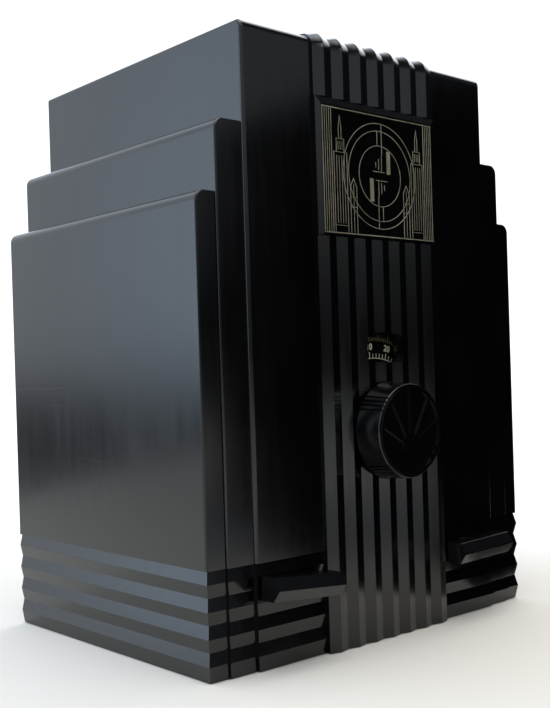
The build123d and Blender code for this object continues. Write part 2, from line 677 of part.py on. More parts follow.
# ---------------------------------------------------------------- tuning knob
with BuildPart() as tuning_knob:
    with BuildSketch(y_plane(KNOB_BACK)):
        with Locations((0, KNOB_Z)):
            Circle(KNOB_R)
    with BuildSketch(y_plane(KNOB_FACE)):
        with Locations((0, KNOB_Z)):
            Circle(KNOB_R_FRONT)
    loft()
    fillet(tuning_knob.edges().group_by(Axis.Y)[0], 0.6)
    fillet(tuning_knob.edges().group_by(Axis.Y)[-1], 0.5)
    # groups of grip grooves round the rim
    for base in (53.0, 143.0, 233.0, 323.0):
        for d in (-9.0, -3.0, 3.0, 9.0):
            ang = base + d
            with BuildSketch(Plane(origin=(0, KNOB_BACK + 1, KNOB_Z), x_dir=(cos(radians(ang)), 0, sin(radians(ang))), z_dir=(0, -1, 0))):
                with Locations((KNOB_R - 0.2, 0)):
                    Rectangle(3.2, 1.0)
            extrude(amount=30, taper=0, mode=Mode.SUBTRACT)
    # raised rim ring and a rising fan of ribs
    with BuildSketch(y_plane(KNOB_FACE + 0.5)):
        with Locations((0, KNOB_Z)):
            Circle(22.0)
            Circle(20.4, mode=Mode.SUBTRACT)
    extrude(amount=1.5)
    with BuildSketch(y_plane(KNOB_FACE + 0.5)) as fan:
        with Locations((0, KNOB_Z)):
            for ang in (30.0, 60.0, 90.0, 120.0, 150.0):
                c, s = cos(radians(ang)), sin(radians(ang))
                with Locations(Location((15.5 * c, -8.0 + 15.5 * s, 0), (0, 0, ang))):
                    Rectangle(42.0, 1.8)
            with Locations((0, -8.0)):
                Circle(6.5)
            with Locations((0, -17.0)):
                Rectangle(60, 18, mode=Mode.SUBTRACT)
            Circle(20.8, mode=Mode.INTERSECT)
    extrude(amount=1.5)
    with BuildSketch(y_plane(KNOB_FACE + 0.5)):
        with Locations((0, KNOB_Z)):
            with Locations((0, -9.2)):
                Rectangle(37.0, 1.8)
            with Locations((0, -13.0)):
                Rectangle(31.8, 1.2)
    extrude(amount=1.5)
    with BuildSketch(y_plane(KNOB_BACK + 1)):
        with Locations((0, KNOB_Z)):
            Circle(SHAFT_R + 0.03)
    extrude(amount=12.2, mode=Mode.SUBTRACT)
    with BuildSketch(Plane.XY.offset(KNOB_Z - KNOB_R - 1)):
        with Locations((0, KNOB_BACK - 5.0)):
            Circle(1.55)
    extrude(amount=KNOB_R, mode=Mode.SUBTRACT)
save(tuning_knob.part, "tuning_knob")

with BuildPart() as grub_screws:
    with BuildSketch(Plane.XY.offset(KNOB_Z - SHAFT_R - 0.05 - 6.0)):
        with Locations((0, KNOB_BACK - 5.0)):
            Circle(1.5)
    extrude(amount=6.0)
    with BuildSketch(Plane.XY.offset(KNOB_Z + SHAFT_R + 0.45)):
        with Locations((0, DISC_Y + 5.6)):
            Circle(1.45)
    extrude(amount=3.2)
save(grub_screws.part, "grub_screws")


# ---------------------------------------------------------------- side controls
def control_body(xc, r, depth):
    yb = CH_Y0 + CH_T
    with BuildPart() as ctl:
        with BuildSketch(y_plane(yb + depth)):
            with Locations((xc, CTRL_Z)):
                Circle(r)
        extrude(amount=depth)
        fillet(ctl.edges().filter_by(GeomType.CIRCLE).group_by(Axis.Y)[-1], 1.5)
        with BuildSketch(y_plane(yb)):
            with Locations((xc, CTRL_Z)):
                Circle(4.75)
        extrude(amount=6.5)
        for dx in (-6.0, 0.0, 6.0):
            with Locations((xc + dx, yb + 2.0, CTRL_Z - r - 3.0)):
                Box(2.6, 0.8, 9.0)
        with BuildSketch(y_plane(yb - 8.0)):
            with Locations((xc, CTRL_Z)):
                Circle(SHAFT_R + RUN)
        extrude(amount=-(8.0 + depth - 2.0), mode=Mode.SUBTRACT)
    return ctl.part


def control_shaft(xc, depth):
    yb = CH_Y0 + CH_T
    y_front = FACE - 11.0
    with BuildPart() as sh:
        with BuildSketch(y_plane(yb + depth - 2.5)):
            with Locations((xc, CTRL_Z)):
                Circle(SHAFT_R)
        extrude(amount=yb + depth - 2.5 - y_front)
    return sh.part


def lever(xc, tilt):
    # pentagon section: flat top and bottom, a ridge along the front
    c, s = cos(radians(tilt)), sin(radians(tilt))
    with BuildPart() as lv:
        with BuildSketch(Plane(origin=(xc, 0, CTRL_Z), x_dir=(0, 1, 0), z_dir=(c, 0, s))) as sec:
            with BuildLine():
                hh = LEVER_H / 2
                Polyline((FACE - 2.5, -hh), (FACE - 2.5, hh), (FACE - 10.7, hh), (FACE - 14.5, 0), (FACE - 10.7, -hh), close=True)
            make_face()
        extrude(amount=LEVER_HALF, both=True)
        fillet(lv.edges().filter_by(lambda e: e.length > 2 * LEVER_HALF - 1), 0.35)
        with BuildSketch(y_plane(FACE)):
            with Locations((xc, CTRL_Z)):
                Circle(SHAFT_R + 0.03)
        extrude(amount=11.2, mode=Mode.SUBTRACT)
    return lv.part


save(control_body(-CTRL_X, 14.0, 13.0), "volume_control")
save(control_body(CTRL_X, 13.0, 9.5), "tone_switch")
save(control_shaft(-CTRL_X, 13.0), "volume_shaft")
save(control_shaft(CTRL_X, 9.5), "tone_shaft")
save(lever(-CTRL_X, LEVER_TILT_L), "volume_lever")
save(lever(CTRL_X, LEVER_TILT_R), "tone_lever")

with BuildPart() as control_nuts:
    with BuildSketch(y_plane(CH_Y0 - 0.05)):
        with Locations((-CTRL_X, CTRL_Z), (CTRL_X, CTRL_Z)):
            RegularPolygon(7.0, 6)
            Circle(4.8, mode=Mode.SUBTRACT)
    extrude(amount=2.4)
save(control_nuts.part, "control_nuts")

# ---------------------------------------------------------------- loudspeaker, facing the vented back
spk_axis = Axis((0, 0, SPK_Z), (0, 1, 0))


def spk_plane():
    # sketch x is the radius, sketch y is the depth axis
    return Plane(origin=(0, 0, SPK_Z), x_dir=(1, 0, 0), z_dir=(0, 0, 1))


with BuildPart() as speaker_frame:
    with BuildSketch(spk_plane()):
        with BuildLine():
            Polyline((14.0, 33.0), (24.4, 33.0), (57.0, 63.6), (57.0, 70.0), (63.5, 70.0), (63.5, 71.0),
                     (56.0, 71.0), (56.0, 64.1), (24.0, 34.0), (14.0, 34.0), close=True)
        make_face()
    revolve(axis=spk_axis)
    with BuildSketch(y_plane(62.0)):
        with Locations((0, SPK_Z)):
            Circle(52.0)
            Circle(30.0, mode=Mode.SUBTRACT)
            with PolarLocations(0, 4, start_angle=45):
                Rectangle(140, 12, mode=Mode.SUBTRACT)
    extrude(amount=30.0, mode=Mode.SUBTRACT)
    with BuildSketch(y_plane(72.0)):
        with Locations((0, SPK_Z)):
            with PolarLocations(60.2, 4, start_angle=45):
                Circle(1.9)
    extrude(amount=6.0, mode=Mode.SUBTRACT)
save(speaker_frame.part, "speaker_frame")

with BuildPart() as speaker_magnet:
    with BuildSketch(spk_plane()):
        with BuildLine():
            Polyline((0, 6.0), (28.0, 6.0), (29.0, 7.0), (29.0, 33.0), (13.4, 33.0), (13.4, 28.0), (24.0, 28.0), (24.0, 11.0),
                     (11.3, 11.0), (11.3, 33.0), (0, 33.0), close=True)
        make_face()
    revolve(axis=spk_axis)
save(speaker_magnet.part, "speaker_magnet")
with BuildPart() as field_coil:
    with BuildSketch(spk_plane()):
        with BuildLine():
            Polyline((13.4, 11.2), (23.8, 11.2), (23.8, 23.0), (13.4, 23.0), close=True)
        make_face()
    revolve(axis=spk_axis)
save(field_coil.part, "field_coil")

with BuildPart() as voice_coil:
    with BuildSketch(spk_plane()):
        with BuildLine():
            Polyline((11.85, 25.5), (12.85, 25.5), (12.85, 38.0), (11.85, 38.0), close=True)
        make_face()
    revolve(axis=spk_axis)
save(voice_coil.part, "voice_coil")

with BuildPart() as speaker_cone:
    with BuildSketch(spk_plane()):
        with BuildLine():
            Polyline((0, 42.6), (8.0, 41.2), (12.9, 38.2), (12.9, 37.0), (13.6, 37.0), (50.0, 68.0), (50.0, 68.8), (13.4, 38.4),
                     (8.3, 41.9), (0, 43.3), close=True)
        make_face()
    revolve(axis=spk_axis)
save(speaker_cone.part, "speaker_cone")

with BuildPart() as speaker_surround:
    with BuildSketch(spk_plane()):
        with BuildLine():
            Polyline((50.4, 68.0), (53.0, 69.2), (55.9, 68.0), (55.9, 68.7), (53.0, 69.9), (50.4, 68.7), close=True)
        make_face()
    revolve(axis=spk_axis)
save(speaker_surround.part, "speaker_surround")

with BuildPart() as speaker_baffle:
    with BuildSketch(y_plane(75.5)):
        with Locations((0, 226.0)):
            Rectangle(2 * 82.0, 128.0)
        with Locations((0, SPK_Z)):
            Circle(54.5, mode=Mode.SUBTRACT)
            with PolarLocations(60.2, 4, start_angle=45):
                Circle(1.9, mode=Mode.SUBTRACT)
        for sx in (-1, 1):
            with Locations((sx * 78.6, 190.0), (sx * 78.6, 262.0)):
                Circle(1.6, mode=Mode.SUBTRACT)
    extrude(amount=4.45)
save(speaker_baffle.part, "speaker_baffle")

with BuildPart() as baffle_screws:
    for sx in (-1, 1):
        for z in (190.0, 262.0):
            add(round_screw(sx * 78.6, 75.5, z, 3.2, 1.8, 1.25, 9.0))
save(baffle_screws.part, "baffle_screws")

with BuildPart() as speaker_bolts:
    for k in range(4):
        a = radians(45 + 90 * k)
        x, z = 60.2 * cos(a), SPK_Z + 60.2 * sin(a)
        with BuildSketch(y_plane(77.3)):
            with Locations((x, z)):
                Circle(3.4)
        extrude(amount=1.8)
        with BuildSketch(y_plane(75.5)):
            with Locations((x, z)):
                Circle(1.75)
        extrude(amount=9.0)
        with BuildSketch(y_plane(69.95)):
            with Locations((x, z)):
                RegularPolygon(3.2, 6)
        extrude(amount=2.4)
save(speaker_bolts.part, "speaker_bolts")

with BuildPart() as output_transformer:
    with Locations((0, 20.0, SPK_Z - 29.0 - 13.2)):
        Box(36.0, 14.0, 26.0)
    with Locations((0, 20.0, SPK_Z - 29.0 - 13.2)):
        Box(26.0, 24.0, 17.0)
    fillet(output_transformer.edges().filter_by(Axis.X), 0.8)
save(output_transformer.part, "output_transformer")
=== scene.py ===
import bpy, bmesh, json, math
from mathutils import Vector, Matrix

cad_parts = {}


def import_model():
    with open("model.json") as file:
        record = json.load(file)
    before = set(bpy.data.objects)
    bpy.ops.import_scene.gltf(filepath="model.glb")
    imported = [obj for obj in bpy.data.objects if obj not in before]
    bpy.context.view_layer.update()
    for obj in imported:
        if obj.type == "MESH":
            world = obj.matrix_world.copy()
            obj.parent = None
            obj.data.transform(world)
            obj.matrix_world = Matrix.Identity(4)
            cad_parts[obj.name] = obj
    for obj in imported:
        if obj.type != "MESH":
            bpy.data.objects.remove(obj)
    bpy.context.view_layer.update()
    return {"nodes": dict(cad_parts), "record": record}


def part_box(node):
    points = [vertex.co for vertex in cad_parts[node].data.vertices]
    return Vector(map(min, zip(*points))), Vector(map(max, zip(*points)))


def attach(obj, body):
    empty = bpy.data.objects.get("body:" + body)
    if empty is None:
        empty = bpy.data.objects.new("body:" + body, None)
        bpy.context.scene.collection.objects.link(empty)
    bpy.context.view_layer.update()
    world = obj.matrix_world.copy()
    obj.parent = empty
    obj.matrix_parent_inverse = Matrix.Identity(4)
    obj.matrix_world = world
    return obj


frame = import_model()
nodes = frame["nodes"]
SC = bpy.context.scene
MM = 0.001
FACE = -76.25            # tower face, millimetres
KNOB_Z = 104.3
DISC_FRONT = FACE + 5.7
KNOB_FACE = -94.25
PLATE_FACE = FACE - 2.6
PLATE_Z0, PLATE_Z1 = 199.6, 266.2
DIAL_REST = 12.4


# ------------------------------------------------------------------ camera
def make_camera():
    yaw, pitch, roll = 0.726, -0.004, -0.031
    f, px, py = 1030.381, 275.75, 374.393
    eye = Vector((-384.804, -352.597 + FACE, 136.001)) * MM
    cy_, sy = math.cos(yaw), math.sin(yaw)
    cp, sp = math.cos(pitch), math.sin(pitch)
    fwd = Vector((sy * cp, cy_ * cp, sp))
    right = Vector((cy_, -sy, 0.0))
    up = right.cross(fwd)
    cr, sr = math.cos(roll), math.sin(roll)
    r2 = right * cr + up * sr
    u2 = up * cr - right * sr
    cam = bpy.data.cameras.new("camera")
    ob = bpy.data.objects.new("camera", cam)
    SC.collection.objects.link(ob)
    m = Matrix((r2, u2, -fwd)).transposed().to_4x4()
    m.translation = eye
    ob.matrix_world = m
    cam.sensor_width = 36.0
    cam.lens = f * 36.0 / 708.0
    cam.shift_x = -(px - 275.0) / 708.0
    cam.shift_y = (py - 354.0) / 708.0
    cam.clip_start, cam.clip_end = 0.01, 50.0
    cam.dof.use_dof = False
    SC.camera = ob
    return eye, fwd, right


EYE, FWD, RIGHT = make_camera()


# ------------------------------------------------------------------ materials
def new_mat(name):
    m = bpy.data.materials.new(name)
    m.use_nodes = True
    nt = m.node_tree
    b = nt.nodes["Principled BSDF"]
    tc = nt.nodes.new("ShaderNodeTexCoord")
    return m, nt, b, tc


def noise(nt, tc, scale, detail=4.0, rough=0.55, stretch=None, out="Object", dist=0.0):
    n = nt.nodes.new("ShaderNodeTexNoise")
    n.inputs["Scale"].default_value = scale
    n.inputs["Detail"].default_value = detail
    n.inputs["Roughness"].default_value = rough
    n.inputs["Distortion"].default_value = dist
    if stretch:
        mp = nt.nodes.new("ShaderNodeMapping")
        mp.inputs["Scale"].default_value = stretch
        nt.links.new(tc.outputs[out], mp.inputs["Vector"])
        nt.links.new(mp.outputs["Vector"], n.inputs["Vector"])
    else:
        nt.links.new(tc.outputs[out], n.inputs["Vector"])
    return n


def ramp(nt, fac, stops):
    r = nt.nodes.new("ShaderNodeValToRGB")
    els = r.color_ramp.elements
    while len(els) < len(stops):
        els.new(0.5)
    for e, (p, c) in zip(els, stops):
        e.position = p
        e.color = (c[0], c[1], c[2], 1.0) if isinstance(c, (tuple, list)) else (c, c, c, 1.0)
    nt.links.new(fac, r.inputs["Fac"])
    return r


def mix(nt, kind, fac, a, b):
    mx = nt.nodes.new("ShaderNodeMix")
    mx.data_type = "RGBA"
    mx.blend_type = kind
    if isinstance(fac, (int, float)):
        mx.inputs[0].default_value = fac
    else:
        nt.links.new(fac, mx.inputs[0])
    for sock, v in ((mx.inputs[6], a), (mx.inputs[7], b)):
        if isinstance(v, (tuple, list)):
            sock.default_value = (v[0], v[1], v[2], 1.0)
        else:
            nt.links.new(v, sock)
    return mx


def math_node(nt, op, a, b=None, clamp=False):
    m = nt.nodes.new("ShaderNodeMath")
    m.operation = op
    m.use_clamp = clamp
    for i, v in enumerate((a, b)):
        if v is None:
            continue
        if isinstance(v, (int, float)):
            m.inputs[i].default_value = v
        else:
            nt.links.new(v, m.inputs[i])
    return m


def bump(nt, b, height, strength, distance, normal=None):
    bp = nt.nodes.new("ShaderNodeBump")
    bp.inputs["Strength"].default_value = strength
    bp.inputs["Distance"].default_value = distance
    nt.links.new(height, bp.inputs["Height"])
    if normal:
        nt.links.new(normal, bp.inputs["Normal"])
    nt.links.new(bp.outputs["Normal"], b.inputs["Normal"])
    return bp


def plastic(name, c0, c1, rough=(0.10, 0.2), grain=(35.0, 160.0), ior=1.6, bump_s=0.05, hair=True):
    m, nt, b, tc = new_mat(name)
    n1 = noise(nt, tc, grain[0], 5.0, 0.6)
    n2 = noise(nt, tc, grain[1], 2.0, 0.5)
    col = ramp(nt, n1.outputs["Fac"], [(0.3, c0), (0.75, c1)])
    nt.links.new(col.outputs["Color"], b.inputs["Base Color"])
    n3 = noise(nt, tc, 9.0, 6.0, 0.65)
    smear = noise(nt, tc, 260.0, 3.0, 0.5, stretch=(1.0, 1.0, 0.06))
    add = math_node(nt, "MULTIPLY", n3.outputs["Fac"], 0.65)
    add2 = math_node(nt, "MULTIPLY", smear.outputs["Fac"], 0.35)
    tot = math_node(nt, "ADD", add.outputs[0], add2.outputs[0])
    rr = ramp(nt, tot.outputs[0], [(0.3, rough[0]), (0.7, rough[1])])
    nt.links.new(rr.outputs["Color"], b.inputs["Roughness"])
    if hair:
        # hairline scratches: thin bands of a stretched, distorted noise
        h1 = noise(nt, tc, 420.0, 1.0, 0.4, stretch=(1.0, 0.03, 0.9), dist=0.4)
        h2 = noise(nt, tc, 380.0, 1.0, 0.4, stretch=(0.9, 1.0, 0.025), dist=0.5)
        s1 = ramp(nt, h1.outputs["Fac"], [(0.70, 0.0), (0.74, 1.0)])
        s2 = ramp(nt, h2.outputs["Fac"], [(0.72, 0.0), (0.76, 1.0)])
        sc = math_node(nt, "MAXIMUM", s1.outputs["Color"], s2.outputs["Color"])
        hs = math_node(nt, "MULTIPLY", sc.outputs[0], -0.5)
        ht = math_node(nt, "ADD", n2.outputs["Fac"], hs.outputs[0])
        bump(nt, b, ht.outputs[0], bump_s, 0.0002)
    else:
        bump(nt, b, n2.outputs["Fac"], bump_s, 0.0002)
    b.inputs["IOR"].default_value = ior
    return m


def metal(name, c0, c1, rough=(0.25, 0.45), scale=60.0, brushed=None, metallic=1.0, bump_s=0.05):
    m, nt, b, tc = new_mat(name)
    n1 = noise(nt, tc, scale, 5.0, 0.6)
    col = ramp(nt, n1.outputs["Fac"], [(0.3, c0), (0.7, c1)])
    nt.links.new(col.outputs["Color"], b.inputs["Base Color"])
    n2 = noise(nt, tc, scale * 8, 3.0, 0.6, stretch=brushed)
    rr = ramp(nt, n2.outputs["Fac"], [(0.3, rough[0]), (0.7, rough[1])])
    nt.links.new(rr.outputs["Color"], b.inputs["Roughness"])
    bump(nt, b, n2.outputs["Fac"], bump_s, 0.0003)
    b.inputs["Metallic"].default_value = metallic
    return m


def fibre(name, c0, c1, scale=400.0, rough=(0.7, 0.95), bump_s=0.4, flecks=None):
    m, nt, b, tc = new_mat(name)
    n1 = noise(nt, tc, scale, 6.0, 0.75)
    n0 = noise(nt, tc, 18.0, 4.0, 0.6)
    f = math_node(nt, "ADD", math_node(nt, "MULTIPLY", n1.outputs["Fac"], 0.7).outputs[0],
                  math_node(nt, "MULTIPLY", n0.outputs["Fac"], 0.3).outputs[0])
    col = ramp(nt, f.outputs[0], [(0.35, c0), (0.65, c1)])
    last = col.outputs["Color"]
    if flecks:
        nf = noise(nt, tc, scale * 0.7, 2.0, 0.5, stretch=(0.25, 1.0, 1.0))
        rf = ramp(nt, nf.outputs["Fac"], [(0.66, 0.0), (0.72, 1.0)])
        mx = mix(nt, "MIX", rf.outputs["Color"], last, flecks)
        last = mx.outputs[2]
    nt.links.new(last, b.inputs["Base Color"])
    rr = ramp(nt, n1.outputs["Fac"], [(0.3, rough[0]), (0.7, rough[1])])
    nt.links.new(rr.outputs["Color"], b.inputs["Roughness"])
    bump(nt, b, n1.outputs["Fac"], bump_s, 0.0004)
    return m


def glass_mat(name, tint=(0.97, 0.98, 0.97), getter_z=None, smoke=0.0):
    m, nt, b, tc = new_mat(name)
    n1 = noise(nt, tc, 30.0, 3.0, 0.5)
    col = ramp(nt, n1.outputs["Fac"], [(0.3, tint), (0.7, tuple(0.96 * c for c in tint))])
    b.inputs["IOR"].default_value = 1.5
    n2 = noise(nt, tc, 120.0, 3.0, 0.5)
    rr = ramp(nt, n2.outputs["Fac"], [(0.3, 0.02), (0.7, 0.07)])
    nt.links.new(rr.outputs["Color"], b.inputs["Roughness"])
    if getter_z is None:
        nt.links.new(col.outputs["Color"], b.inputs["Base Color"])
        b.inputs["Transmission Weight"].default_value = 1.0
    else:
        # silvery getter film near the top of the bulb
        sep = nt.nodes.new("ShaderNodeSeparateXYZ")
        nt.links.new(tc.outputs["Object"], sep.inputs[0])
        wob = math_node(nt, "MULTIPLY", math_node(nt, "SUBTRACT", n1.outputs["Fac"], 0.5).outputs[0], 0.012)
        z = math_node(nt, "ADD", sep.outputs["Z"], wob.outputs[0])
        g = nt.nodes.new("ShaderNodeMapRange")
        g.inputs["From Min"].default_value = getter_z
        g.inputs["From Max"].default_value = getter_z + 0.007
        nt.links.new(z.outputs[0], g.inputs["Value"])
        inv = math_node(nt, "SUBTRACT", 1.0, g.outputs[0], clamp=True)
        nt.links.new(inv.outputs[0], b.inputs["Transmission Weight"])
        mx = mix(nt, "MIX", g.outputs[0], col.outputs["Color"], (0.30, 0.29, 0.30))
        nt.links.new(mx.outputs[2], b.inputs["Base Color"])
        nt.links.new(g.outputs[0], b.inputs["Metallic"])
    return m


BLACK0, BLACK1 = (0.0004, 0.0004, 0.00045), (0.0014, 0.00135, 0.0014)
M = {}
M["bakelite"] = plastic("bakelite", BLACK0, BLACK1, rough=(0.11, 0.24), ior=1.52, bump_s=0.045)
M["plate_black"] = plastic("plate_black", (0.001, 0.001, 0.0011), (0.002, 0.002, 0.0022), rough=(0.05, 0.11), ior=1.5, bump_s=0.02)
M["knob_bakelite"] = plastic("knob_bakelite", BLACK0, BLACK1, rough=(0.14, 0.28), ior=1.54, bump_s=0.05)
M["felt"] = fibre("felt", (0.02, 0.025, 0.02), (0.05, 0.06, 0.05), 900.0)
M["steel"] = metal("steel", (0.44, 0.43, 0.38), (0.60, 0.59, 0.54), (0.28, 0.5), 22.0)
M["zinc_steel"] = metal("zinc_steel", (0.55, 0.55, 0.53), (0.70, 0.70, 0.68), (0.22, 0.42), 80.0)
M["brass"] = metal("brass_metal", (0.58, 0.42, 0.18), (0.78, 0.60, 0.28), (0.2, 0.42), 90.0)
M["fibreboard"] = fibre("fibreboard", (0.055, 0.032, 0.018), (0.15, 0.088, 0.048), 520.0, flecks=(0.21, 0.14, 0.08))
M["rubber"] = fibre("rubber", (0.012, 0.012, 0.012), (0.03, 0.03, 0.03), 700.0, rough=(0.55, 0.8), bump_s=0.15)
M["tube_bakelite"] = plastic("tube_bakelite", (0.018, 0.010, 0.007), (0.045, 0.024, 0.014), rough=(0.22, 0.42))
M["wafer"] = fibre("wafer", (0.10, 0.045, 0.02), (0.2, 0.10, 0.045), 500.0, rough=(0.45, 0.7), bump_s=0.15)
M["electrode_metal"] = metal("electrode_metal", (0.06, 0.06, 0.065), (0.14, 0.14, 0.15), (0.45, 0.7), 120.0)
M["aluminium"] = metal("aluminium", (0.66, 0.66, 0.66), (0.80, 0.80, 0.81), (0.22, 0.42), 60.0, brushed=(1, 1, 0.08))
M["wax_cardboard"] = fibre("wax_cardboard", (0.34, 0.22, 0.08), (0.58, 0.42, 0.20), 260.0, rough=(0.35, 0.6), bump_s=0.15)
M["enamelled_copper"] = metal("enamelled_copper", (0.28, 0.08, 0.03), (0.50, 0.19, 0.07), (0.2, 0.35), 50.0, brushed=(0.1, 0.1, 4.0), metallic=0.6)
M["coil_former"] = fibre("coil_former", (0.24, 0.15, 0.07), (0.42, 0.29, 0.15), 320.0, rough=(0.5, 0.8))
M["laminations"] = metal("laminations", (0.035, 0.035, 0.04), (0.08, 0.08, 0.085), (0.4, 0.62), 70.0, brushed=(6.0, 0.1, 0.1), metallic=0.5, bump_s=0.3)
M["magnet_paint"] = plastic("magnet_paint", (0.02, 0.02, 0.022), (0.04, 0.04, 0.043), rough=(0.3, 0.5), ior=1.45)
M["frame_paint"] = plastic("frame_paint", (0.045, 0.045, 0.05), (0.085, 0.085, 0.09), rough=(0.32, 0.5), ior=1.45)
M["cone_paper"] = fibre("cone_paper", (0.028, 0.023, 0.02), (0.062, 0.052, 0.045), 600.0)
M["dial_black"] = plastic("dial_black", (0.001, 0.001, 0.001), (0.002, 0.002, 0.002), rough=(0.22, 0.34), ior=1.4, hair=False)
M["resistor_body"] = plastic("resistor_body", (0.16, 0.08, 0.03), (0.30, 0.17, 0.07), rough=(0.3, 0.5))
M["control_can"] = metal("control_can", (0.42, 0.42, 0.40), (0.56, 0.56, 0.54), (0.3, 0.48), 70.0)


def line_paint(name, c0, c1, rough=(0.35, 0.55), metallic=0.0):
    m, nt, b, tc = new_mat(name)
    n1 = noise(nt, tc, 520.0, 4.0, 0.7)
    n2 = noise(nt, tc, 60.0, 4.0, 0.7)
    f = math_node(nt, "ADD", math_node(nt, "MULTIPLY", n1.outputs["Fac"], 0.5).outputs[0],
                  math_node(nt, "MULTIPLY", n2.outputs["Fac"], 0.5).outputs[0])
    col = ramp(nt, f.outputs[0], [(0.36, c0), (0.60, c1)])
    nt.links.new(col.outputs["Color"], b.inputs["Base Color"])
    rr = ramp(nt, n1.outputs["Fac"], [(0.3, rough[0]), (0.7, rough[1])])
    nt.links.new(rr.outputs["Color"], b.inputs["Roughness"])
    bump(nt, b, n1.outputs["Fac"], 0.2, 0.0002)
    b.inputs["Metallic"].default_value = metallic
    return m


GILT = line_paint("gilt_line", (0.075, 0.068, 0.042), (0.25, 0.23, 0.16), metallic=0.2)
CREAM = line_paint("dial_cream", (0.40, 0.37, 0.24), (0.58, 0.55, 0.38))
GILT_DIM = line_paint("dial_gilt", (0.07, 0.055, 0.02), (0.16, 0.13, 0.06))

record = frame["record"]
slot_of = {s["node"]: s["material_slot"] for s in record["subparts"]}
for name, ob in nodes.items():
    slot = slot_of[name]
    if slot == "glass":
        lo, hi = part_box(name)
        mat = glass_mat("glass_" + name, getter_z=hi[2] - 0.030) if name.endswith("_tube_glass") else glass_mat("glass_" + name)
    else:
        mat = M[slot]
    ob.data.materials.clear()
    ob.data.materials.append(mat)


# ------------------------------------------------------------------ pieces
def piece(name, bm, mat, body, smooth=False):
    me = bpy.data.meshes.new(name)
    bm.to_mesh(me)
    bm.free()
    ob = bpy.data.objects.new(name, me)
    SC.collection.objects.link(ob)
    me.materials.append(mat)
    if smooth:
        for p in me.polygons:
            p.use_smooth = True
    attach(ob, body)
    return ob


def stroke(bm, pts, w, y_front, y_back, closed=False):
    """A line of width w through pts, which are (x, z) in millimetres, with mitred joints; its front lies at y_front."""
    n = len(pts)
    left, right = [], []
    for i in range(n):
        p = Vector(pts[i])
        if closed:
            a, c = Vector(pts[(i - 1) % n]), Vector(pts[(i + 1) % n])
        else:
            a, c = Vector(pts[max(i - 1, 0)]), Vector(pts[min(i + 1, n - 1)])
        d1 = (p - a).normalized() if (p - a).length > 1e-9 else (c - p).normalized()
        d2 = (c - p).normalized() if (c - p).length > 1e-9 else d1
        n1, n2 = Vector((-d1.y, d1.x)), Vector((-d2.y, d2.x))
        m = (n1 + n2)
        m = m.normalized() if m.length > 1e-6 else n1
        k = (w / 2) / max(m.dot(n1), 0.35)
        left.append(p + m * k)
        right.append(p - m * k)
    b = 0.22 * w   # small bevel so that the stroke catches light
    rings = []
    for i in range(n):
        l, r = left[i], right[i]
        d = (r - l).normalized()
        ring = [bm.verts.new((l.x * MM, y_back * MM, l.y * MM)),
                bm.verts.new(((l.x + d.x * b) * MM, y_front * MM, (l.y + d.y * b) * MM)),
                bm.verts.new(((r.x - d.x * b) * MM, y_front * MM, (r.y - d.y * b) * MM)),
                bm.verts.new((r.x * MM, y_back * MM, r.y * MM))]
        rings.append(ring)
    m = n if closed else n - 1
    for i in range(m):
        r0, r1 = rings[i], rings[(i + 1) % n]
        for k in range(4):
            k2 = (k + 1) % 4
            bm.faces.new((r0[k], r0[k2], r1[k2], r1[k]))
    if not closed:
        bm.faces.new(rings[0][::-1])
        bm.faces.new(rings[-1])


def arc_pts(cx, cz, r, a0, a1, n):
    return [(cx + r * math.cos(math.radians(a0 + (a1 - a0) * i / n)), cz + r * math.sin(math.radians(a0 + (a1 - a0) * i / n)))
            for i in range(n + 1)]


def poly(bm, pts, y_front, y_back):
    vs = [bm.verts.new((x * MM, y_front * MM, z * MM)) for x, z in pts]
    ws = [bm.verts.new((x * MM, y_back * MM, z * MM)) for x, z in pts]
    bm.faces.new(vs)
    bm.faces.new(ws[::-1])
    n = len(pts)
    for i in range(n):
        bm.faces.new((vs[i], ws[i], ws[(i + 1) % n], vs[(i + 1) % n]))


def fix_normals(bm):
    bmesh.ops.recalc_face_normals(bm, faces=bm.faces)


